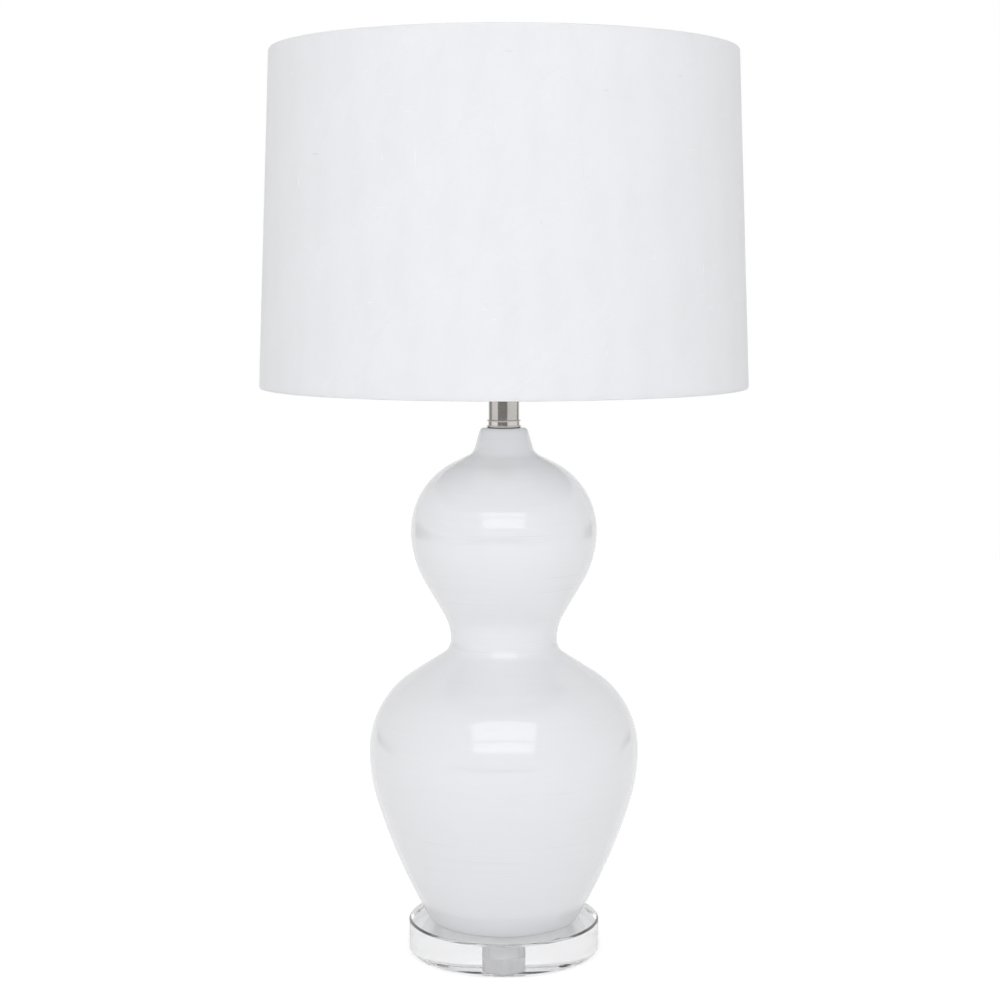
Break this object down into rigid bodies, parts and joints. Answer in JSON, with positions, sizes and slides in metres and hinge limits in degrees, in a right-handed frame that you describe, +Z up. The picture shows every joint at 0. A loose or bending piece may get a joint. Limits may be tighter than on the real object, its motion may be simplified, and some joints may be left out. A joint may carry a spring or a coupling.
{
  "type": "double gourd table lamp",
  "caption": "Table lamp: glazed white ceramic double gourd on a clear acrylic disc, short bright metal neck, harp, and tapered drum shade in white linen.",
  "frame": {"origin": "bottom centre of the base, on the lamp's axis, level with the table", "axes": "+Z up along the lamp's axis; -Y is the front, where the switch knob points; the cord inlet is at the rear, +Y"},
  "size_m": [0.3706, 0.3706, 0.7035],
  "materials": {
    "clear_acrylic": "clear acrylic, polished all over",
    "clear_rubber": "clear, soft",
    "zinc_steel": "zinc plated",
    "white_glaze": "glossy cool-white glaze over fine throwing rings",
    "black_rubber": "matt",
    "polished_nickel": "polished, slightly warm nickel plate",
    "card": "plain",
    "black_moulding": "moulded, semi-matt",
    "plain_brass": "plain",
    "bulb_metal": "bright",
    "black_glass": "glossy",
    "white_plastic": "satin, moulded",
    "frosted_diffuser": "frosted",
    "white_wire": "white enamel",
    "white_lining": "smooth matt lining",
    "white_linen": "plain-woven linen"
  },
  "bodies": {
    "lamp_base": {"base_pads": "clear_rubber", "acrylic_base": "clear_acrylic", "base_washer": "zinc_steel", "base_lock_washer": "zinc_steel", "base_nut": "zinc_steel", "threaded_rod": "zinc_steel", "foot_gasket": "clear_rubber", "gourd_body": "white_glaze", "cord_inlet_bush": "white_plastic", "neck_seal": "black_rubber", "check_ring": "polished_nickel", "neck_tube": "polished_nickel", "neck_washer": "zinc_steel", "harp_saddle": "polished_nickel", "socket_cap": "polished_nickel", "cap_set_screw": "zinc_steel", "socket_shell": "polished_nickel", "insulating_sleeve": "card", "socket_body": "black_moulding", "terminal_screws": "plain_brass", "socket_screw_shell": "plain_brass", "centre_contact": "plain_brass"},
    "switch": {"switch_shaft": "zinc_steel", "switch_knob": "black_moulding"},
    "bulb_tip": {"bulb_contact": "bulb_metal"},
    "bulb": {"bulb_insulator": "black_glass", "bulb_cap": "bulb_metal", "bulb_housing": "white_plastic", "bulb_globe": "frosted_diffuser"},
    "harp": {"harp_wire": "polished_nickel"},
    "left_sleeve": {"left_harp_sleeve": "polished_nickel"},
    "right_sleeve": {"right_harp_sleeve": "polished_nickel"},
    "shade": {"harp_swivel_stud": "polished_nickel", "shade_spider": "white_wire", "shade_top_ring": "white_wire", "shade_bottom_ring": "white_wire", "shade_liner": "white_lining", "shade_fabric": "white_linen", "shade_top_hem": "white_linen", "shade_bottom_hem": "white_linen"},
    "finial_foot": {"finial_base": "polished_nickel"},
    "finial": {"finial_knob": "polished_nickel"}
  },
  "joints": [
    {"name": "harp_lift", "type": "slide", "parent": "lamp_base", "child": "harp", "axis": [0, 0, 1], "range_m": [0, 0.02]},
    {"name": "left_sleeve_slide", "type": "slide", "parent": "harp", "child": "left_sleeve", "axis": [0, 0, 1], "range_m": [0, 0.0125]},
    {"name": "right_sleeve_slide", "type": "slide", "parent": "harp", "child": "right_sleeve", "axis": [0, 0, 1], "range_m": [0, 0.0125]},
    {"name": "shade_turn", "type": "hinge", "parent": "harp", "child": "shade", "pos_m": [0, 0, 0.676], "axis": [0, 0, 1], "continuous": true},
    {"name": "finial_lift", "type": "slide", "parent": "shade", "child": "finial_foot", "axis": [0, 0, 1], "range_m": [0, 0.0075]},
    {"name": "finial_turn", "type": "hinge", "parent": "finial_foot", "child": "finial", "pos_m": [0, 0, 0.688], "axis": [0, 0, 1], "range_deg": [0, 2880]},
    {"name": "bulb_lift", "type": "slide", "parent": "lamp_base", "child": "bulb_tip", "axis": [0, 0, 1], "range_m": [0, 0.0145]},
    {"name": "bulb_turn", "type": "hinge", "parent": "bulb_tip", "child": "bulb", "pos_m": [0, 0, 0.49], "axis": [0, 0, 1], "range_deg": [0, 1440]},
    {"name": "switch_turn", "type": "hinge", "parent": "lamp_base", "child": "switch", "pos_m": [0, -0.02, 0.4608], "axis": [0, -1, 0], "continuous": true}
  ],
  "couplings": [
    {"joint": "finial_turn", "follows": "finial_lift", "rad_per_m": 6679},
    {"joint": "bulb_turn", "follows": "bulb_lift", "rad_per_m": 1731.6}
  ]
}
